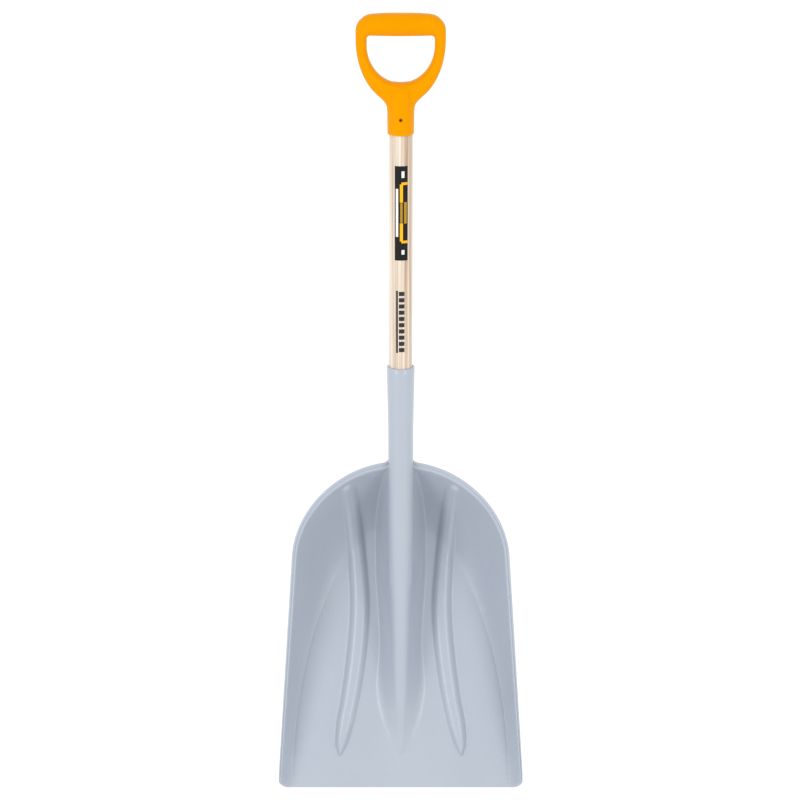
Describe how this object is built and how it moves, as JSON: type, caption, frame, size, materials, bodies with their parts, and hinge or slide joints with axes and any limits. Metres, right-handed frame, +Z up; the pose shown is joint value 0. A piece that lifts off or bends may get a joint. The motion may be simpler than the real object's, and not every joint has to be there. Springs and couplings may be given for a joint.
{
  "type": "grain scoop shovel",
  "caption": "Wide, deep plastic scoop with rounded back and moulded socket, on a short round wooden shaft with a D-grip, for grain and seed.",
  "frame": {"origin": "on the ground under the middle of the shovel's box, as the shovel lies on its heel and its grip", "axes": "+Y from the scoop's front edge towards the grip, +Z up, +X to the right when looking along +Y; the scoop opens upwards"},
  "size_m": [0.3798, 1.2162, 0.1726],
  "materials": {
    "scoop_plastic": "satin",
    "shaft_wood": "lacquered",
    "grip_plastic": "fine moulded texture",
    "steel": "zinc plated",
    "label_vinyl": "printed vinyl"
  },
  "bodies": {
    "root": {"scoop_blade": "scoop_plastic", "handle_shaft": "shaft_wood", "d_grip": "grip_plastic", "grip_pin": "steel", "socket_screw": "steel", "shaft_label": "label_vinyl"}
  },
  "joints": []
}
